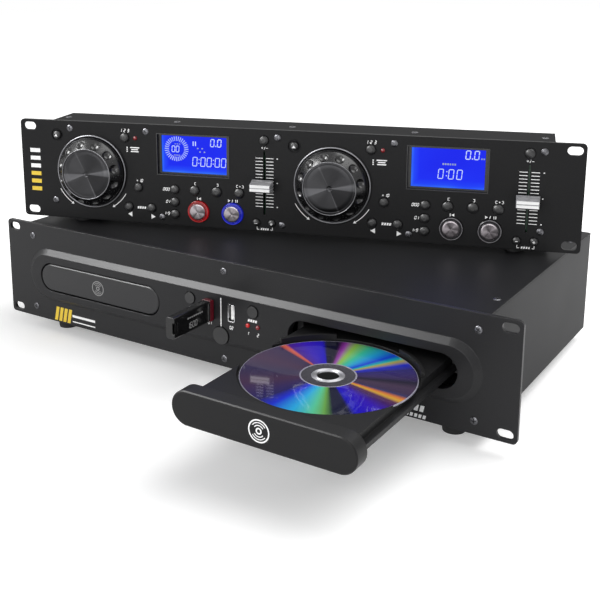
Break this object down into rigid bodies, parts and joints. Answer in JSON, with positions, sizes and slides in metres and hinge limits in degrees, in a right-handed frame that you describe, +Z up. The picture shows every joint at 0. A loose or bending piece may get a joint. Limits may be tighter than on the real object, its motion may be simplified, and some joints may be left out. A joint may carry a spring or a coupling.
{
  "type": "dual disc player",
  "caption": "Rack transport with two motor driven disc trays, and a separate controller with jog wheels, pitch faders and displays standing on it.",
  "frame": {"origin": "centre of the transport's four rack slots, on its panel's front face", "axes": "+X right, +Y back into the case, +Z up"},
  "size_m": [0.4826, 0.397, 0.1897],
  "materials": {
    "panel_coat": "satin black powder coat",
    "case_coat": "fine textured black powder coat",
    "screw_steel": "black zinc",
    "foot_rubber": "matte moulded rubber",
    "frame_plastic": "moulded ABS",
    "circuit_board": "glass fibre with solder mask",
    "socket_plastic": "moulded nylon",
    "socket_steel": "nickel plated",
    "tray_plastic": "satin moulded ABS",
    "disc_plastic": "metallised polycarbonate",
    "platter_plastic": "moulded acetal",
    "stick_plastic": "glossy moulded ABS",
    "key_plastic": "satin moulded ABS",
    "display_plastic": "lit liquid crystal glass",
    "key_rubber": "silicone rubber",
    "red_lens": "lit clear acrylic round a metal cap",
    "blue_lens": "lit clear acrylic round a metal cap",
    "clear_lens": "clear acrylic round a metal cap",
    "wheel_plastic": "satin moulded ABS",
    "fader_plastic": "silver painted ABS"
  },
  "bodies": {
    "transport": {"transport_panel": "panel_coat", "chassis": "case_coat", "top_cover": "case_coat", "transport_screws": "screw_steel", "transport_feet": "foot_rubber", "loader_frames": "frame_plastic", "main_board": "circuit_board", "rear_sockets": "socket_plastic", "usb_ports": "socket_steel"},
    "left_tray": {"left_tray": "tray_plastic"},
    "right_tray": {"right_tray": "tray_plastic"},
    "disc": {"disc": "disc_plastic"},
    "left_turntable": {"left_turntable": "platter_plastic"},
    "right_turntable": {"right_turntable": "platter_plastic"},
    "usb_stick": {"usb_stick": "stick_plastic"},
    "left_eject_key": {"left_eject_key": "key_plastic"},
    "right_eject_key": {"right_eject_key": "key_plastic"},
    "power_key": {"power_key": "key_plastic"},
    "controller": {"controller_panel": "panel_coat", "controller_case": "case_coat", "controller_feet": "foot_rubber", "controller_screws": "screw_steel", "displays": "display_plastic", "controller_board": "circuit_board"},
    "left_deck_eject_key": {"left_deck_eject_key": "key_rubber"},
    "left_deck_jog_mode_key": {"left_deck_jog_mode_key": "key_rubber"},
    "left_deck_plus_ten_key": {"left_deck_plus_ten_key": "key_rubber"},
    "left_deck_track_back_key": {"left_deck_track_back_key": "key_rubber"},
    "left_deck_track_next_key": {"left_deck_track_next_key": "key_rubber"},
    "left_deck_time_key": {"left_deck_time_key": "key_rubber"},
    "left_deck_single_key": {"left_deck_single_key": "key_rubber"},
    "left_deck_program_key": {"left_deck_program_key": "key_rubber"},
    "left_deck_loop_in_key": {"left_deck_loop_in_key": "key_rubber"},
    "left_deck_loop_out_key": {"left_deck_loop_out_key": "key_rubber"},
    "left_deck_reloop_key": {"left_deck_reloop_key": "key_rubber"},
    "left_deck_pitch_key": {"left_deck_pitch_key": "key_rubber"},
    "left_deck_bend_down_key": {"left_deck_bend_down_key": "key_rubber"},
    "left_deck_bend_up_key": {"left_deck_bend_up_key": "key_rubber"},
    "left_deck_cue_key": {"left_deck_cue_key": "red_lens"},
    "left_deck_play_key": {"left_deck_play_key": "blue_lens"},
    "left_deck_jog_wheel": {"left_deck_jog_wheel": "wheel_plastic"},
    "left_deck_pitch_fader": {"left_deck_pitch_fader": "fader_plastic"},
    "right_deck_eject_key": {"right_deck_eject_key": "key_rubber"},
    "right_deck_jog_mode_key": {"right_deck_jog_mode_key": "key_rubber"},
    "right_deck_plus_ten_key": {"right_deck_plus_ten_key": "key_rubber"},
    "right_deck_track_back_key": {"right_deck_track_back_key": "key_rubber"},
    "right_deck_track_next_key": {"right_deck_track_next_key": "key_rubber"},
    "right_deck_time_key": {"right_deck_time_key": "key_rubber"},
    "right_deck_single_key": {"right_deck_single_key": "key_rubber"},
    "right_deck_program_key": {"right_deck_program_key": "key_rubber"},
    "right_deck_loop_in_key": {"right_deck_loop_in_key": "key_rubber"},
    "right_deck_loop_out_key": {"right_deck_loop_out_key": "key_rubber"},
    "right_deck_reloop_key": {"right_deck_reloop_key": "key_rubber"},
    "right_deck_pitch_key": {"right_deck_pitch_key": "key_rubber"},
    "right_deck_bend_down_key": {"right_deck_bend_down_key": "key_rubber"},
    "right_deck_bend_up_key": {"right_deck_bend_up_key": "key_rubber"},
    "right_deck_cue_key": {"right_deck_cue_key": "clear_lens"},
    "right_deck_play_key": {"right_deck_play_key": "clear_lens"},
    "right_deck_jog_wheel": {"right_deck_jog_wheel": "wheel_plastic"},
    "right_deck_pitch_fader": {"right_deck_pitch_fader": "fader_plastic"}
  },
  "joints": [
    {"name": "left_tray_slide", "type": "slide", "parent": "transport", "child": "left_tray", "axis": [0, -1, 0], "range_m": [0, 0.142]},
    {"name": "right_tray_slide", "type": "slide", "parent": "transport", "child": "right_tray", "axis": [0, -1, 0], "range_m": [-0.142, 0]},
    {"name": "disc_lift", "type": "slide", "parent": "right_tray", "child": "disc", "axis": [0, -0.342, 0.9397], "range_m": [0, 0.03]},
    {"name": "left_turntable_spin", "type": "hinge", "parent": "transport", "child": "left_turntable", "pos_m": [-0.1303, 0.08, -0.00605], "axis": [0, 0, 1], "continuous": true},
    {"name": "right_turntable_spin", "type": "hinge", "parent": "transport", "child": "right_turntable", "pos_m": [0.1303, 0.08, -0.00605], "axis": [0, 0, 1], "continuous": true},
    {"name": "usb_stick_pull", "type": "slide", "parent": "transport", "child": "usb_stick", "axis": [0, -1, 0], "range_m": [0, 0.03]},
    {"name": "left_eject_key_press", "type": "slide", "parent": "transport", "child": "left_eject_key", "axis": [0, 1, 0], "range_m": [0, 0.001], "stiffness_N_per_m": 800},
    {"name": "right_eject_key_press", "type": "slide", "parent": "transport", "child": "right_eject_key", "axis": [0, 1, 0], "range_m": [0, 0.001], "stiffness_N_per_m": 800},
    {"name": "power_key_press", "type": "slide", "parent": "transport", "child": "power_key", "axis": [0, 1, 0], "range_m": [0, 0.001], "stiffness_N_per_m": 800},
    {"name": "controller_lift", "type": "slide", "parent": "transport", "child": "controller", "axis": [0, 0, 1], "range_m": [0, 0.06]},
    {"name": "left_deck_eject_key_press", "type": "slide", "parent": "controller", "child": "left_deck_eject_key", "axis": [-0.3123, 0.95, 0], "range_m": [0, 0.0007], "stiffness_N_per_m": 600},
    {"name": "left_deck_jog_mode_key_press", "type": "slide", "parent": "controller", "child": "left_deck_jog_mode_key", "axis": [-0.3123, 0.95, 0], "range_m": [0, 0.0007], "stiffness_N_per_m": 600},
    {"name": "left_deck_plus_ten_key_press", "type": "slide", "parent": "controller", "child": "left_deck_plus_ten_key", "axis": [-0.3123, 0.95, 0], "range_m": [0, 0.0007], "stiffness_N_per_m": 600},
    {"name": "left_deck_track_back_key_press", "type": "slide", "parent": "controller", "child": "left_deck_track_back_key", "axis": [-0.3123, 0.95, 0], "range_m": [0, 0.0007], "stiffness_N_per_m": 600},
    {"name": "left_deck_track_next_key_press", "type": "slide", "parent": "controller", "child": "left_deck_track_next_key", "axis": [-0.3123, 0.95, 0], "range_m": [0, 0.0007], "stiffness_N_per_m": 600},
    {"name": "left_deck_time_key_press", "type": "slide", "parent": "controller", "child": "left_deck_time_key", "axis": [-0.3123, 0.95, 0], "range_m": [0, 0.0007], "stiffness_N_per_m": 600},
    {"name": "left_deck_single_key_press", "type": "slide", "parent": "controller", "child": "left_deck_single_key", "axis": [-0.3123, 0.95, 0], "range_m": [0, 0.0007], "stiffness_N_per_m": 600},
    {"name": "left_deck_program_key_press", "type": "slide", "parent": "controller", "child": "left_deck_program_key", "axis": [-0.3123, 0.95, 0], "range_m": [0, 0.0007], "stiffness_N_per_m": 600},
    {"name": "left_deck_loop_in_key_press", "type": "slide", "parent": "controller", "child": "left_deck_loop_in_key", "axis": [-0.3123, 0.95, 0], "range_m": [0, 0.0007], "stiffness_N_per_m": 600},
    {"name": "left_deck_loop_out_key_press", "type": "slide", "parent": "controller", "child": "left_deck_loop_out_key", "axis": [-0.3123, 0.95, 0], "range_m": [0, 0.0007], "stiffness_N_per_m": 600},
    {"name": "left_deck_reloop_key_press", "type": "slide", "parent": "controller", "child": "left_deck_reloop_key", "axis": [-0.3123, 0.95, 0], "range_m": [0, 0.0007], "stiffness_N_per_m": 600},
    {"name": "left_deck_pitch_key_press", "type": "slide", "parent": "controller", "child": "left_deck_pitch_key", "axis": [-0.3123, 0.95, 0], "range_m": [0, 0.0007], "stiffness_N_per_m": 600},
    {"name": "left_deck_bend_down_key_press", "type": "slide", "parent": "controller", "child": "left_deck_bend_down_key", "axis": [-0.3123, 0.95, 0], "range_m": [0, 0.0007], "stiffness_N_per_m": 600},
    {"name": "left_deck_bend_up_key_press", "type": "slide", "parent": "controller", "child": "left_deck_bend_up_key", "axis": [-0.3123, 0.95, 0], "range_m": [0, 0.0007], "stiffness_N_per_m": 600},
    {"name": "left_deck_cue_key_press", "type": "slide", "parent": "controller", "child": "left_deck_cue_key", "axis": [-0.3123, 0.95, 0], "range_m": [0, 0.0007], "stiffness_N_per_m": 600},
    {"name": "left_deck_play_key_press", "type": "slide", "parent": "controller", "child": "left_deck_play_key", "axis": [-0.3123, 0.95, 0], "range_m": [0, 0.0007], "stiffness_N_per_m": 600},
    {"name": "left_deck_jog_wheel_turn", "type": "hinge", "parent": "controller", "child": "left_deck_jog_wheel", "pos_m": [-0.15835, 0.01642, 0.09165], "axis": [0.3123, -0.95, 0], "continuous": true},
    {"name": "left_deck_pitch_fader_slide", "type": "slide", "parent": "controller", "child": "left_deck_pitch_fader", "axis": [0, 0, 1], "range_m": [-0.023, 0.0253]},
    {"name": "right_deck_eject_key_press", "type": "slide", "parent": "controller", "child": "right_deck_eject_key", "axis": [-0.3123, 0.95, 0], "range_m": [0, 0.0007], "stiffness_N_per_m": 600},
    {"name": "right_deck_jog_mode_key_press", "type": "slide", "parent": "controller", "child": "right_deck_jog_mode_key", "axis": [-0.3123, 0.95, 0], "range_m": [0, 0.0007], "stiffness_N_per_m": 600},
    {"name": "right_deck_plus_ten_key_press", "type": "slide", "parent": "controller", "child": "right_deck_plus_ten_key", "axis": [-0.3123, 0.95, 0], "range_m": [0, 0.0007], "stiffness_N_per_m": 600},
    {"name": "right_deck_track_back_key_press", "type": "slide", "parent": "controller", "child": "right_deck_track_back_key", "axis": [-0.3123, 0.95, 0], "range_m": [0, 0.0007], "stiffness_N_per_m": 600},
    {"name": "right_deck_track_next_key_press", "type": "slide", "parent": "controller", "child": "right_deck_track_next_key", "axis": [-0.3123, 0.95, 0], "range_m": [0, 0.0007], "stiffness_N_per_m": 600},
    {"name": "right_deck_time_key_press", "type": "slide", "parent": "controller", "child": "right_deck_time_key", "axis": [-0.3123, 0.95, 0], "range_m": [0, 0.0007], "stiffness_N_per_m": 600},
    {"name": "right_deck_single_key_press", "type": "slide", "parent": "controller", "child": "right_deck_single_key", "axis": [-0.3123, 0.95, 0], "range_m": [0, 0.0007], "stiffness_N_per_m": 600},
    {"name": "right_deck_program_key_press", "type": "slide", "parent": "controller", "child": "right_deck_program_key", "axis": [-0.3123, 0.95, 0], "range_m": [0, 0.0007], "stiffness_N_per_m": 600},
    {"name": "right_deck_loop_in_key_press", "type": "slide", "parent": "controller", "child": "right_deck_loop_in_key", "axis": [-0.3123, 0.95, 0], "range_m": [0, 0.0007], "stiffness_N_per_m": 600},
    {"name": "right_deck_loop_out_key_press", "type": "slide", "parent": "controller", "child": "right_deck_loop_out_key", "axis": [-0.3123, 0.95, 0], "range_m": [0, 0.0007], "stiffness_N_per_m": 600},
    {"name": "right_deck_reloop_key_press", "type": "slide", "parent": "controller", "child": "right_deck_reloop_key", "axis": [-0.3123, 0.95, 0], "range_m": [0, 0.0007], "stiffness_N_per_m": 600},
    {"name": "right_deck_pitch_key_press", "type": "slide", "parent": "controller", "child": "right_deck_pitch_key", "axis": [-0.3123, 0.95, 0], "range_m": [0, 0.0007], "stiffness_N_per_m": 600},
    {"name": "right_deck_bend_down_key_press", "type": "slide", "parent": "controller", "child": "right_deck_bend_down_key", "axis": [-0.3123, 0.95, 0], "range_m": [0, 0.0007], "stiffness_N_per_m": 600},
    {"name": "right_deck_bend_up_key_press", "type": "slide", "parent": "controller", "child": "right_deck_bend_up_key", "axis": [-0.3123, 0.95, 0], "range_m": [0, 0.0007], "stiffness_N_per_m": 600},
    {"name": "right_deck_cue_key_press", "type": "slide", "parent": "controller", "child": "right_deck_cue_key", "axis": [-0.3123, 0.95, 0], "range_m": [0, 0.0007], "stiffness_N_per_m": 600},
    {"name": "right_deck_play_key_press", "type": "slide", "parent": "controller", "child": "right_deck_play_key", "axis": [-0.3123, 0.95, 0], "range_m": [0, 0.0007], "stiffness_N_per_m": 600},
    {"name": "right_deck_jog_wheel_turn", "type": "hinge", "parent": "controller", "child": "right_deck_jog_wheel", "pos_m": [0.04637, 0.08373, 0.09165], "axis": [0.3123, -0.95, 0], "continuous": true},
    {"name": "right_deck_pitch_fader_slide", "type": "slide", "parent": "controller", "child": "right_deck_pitch_fader", "axis": [0, 0, 1], "range_m": [-0.023, 0.0253]}
  ]
}
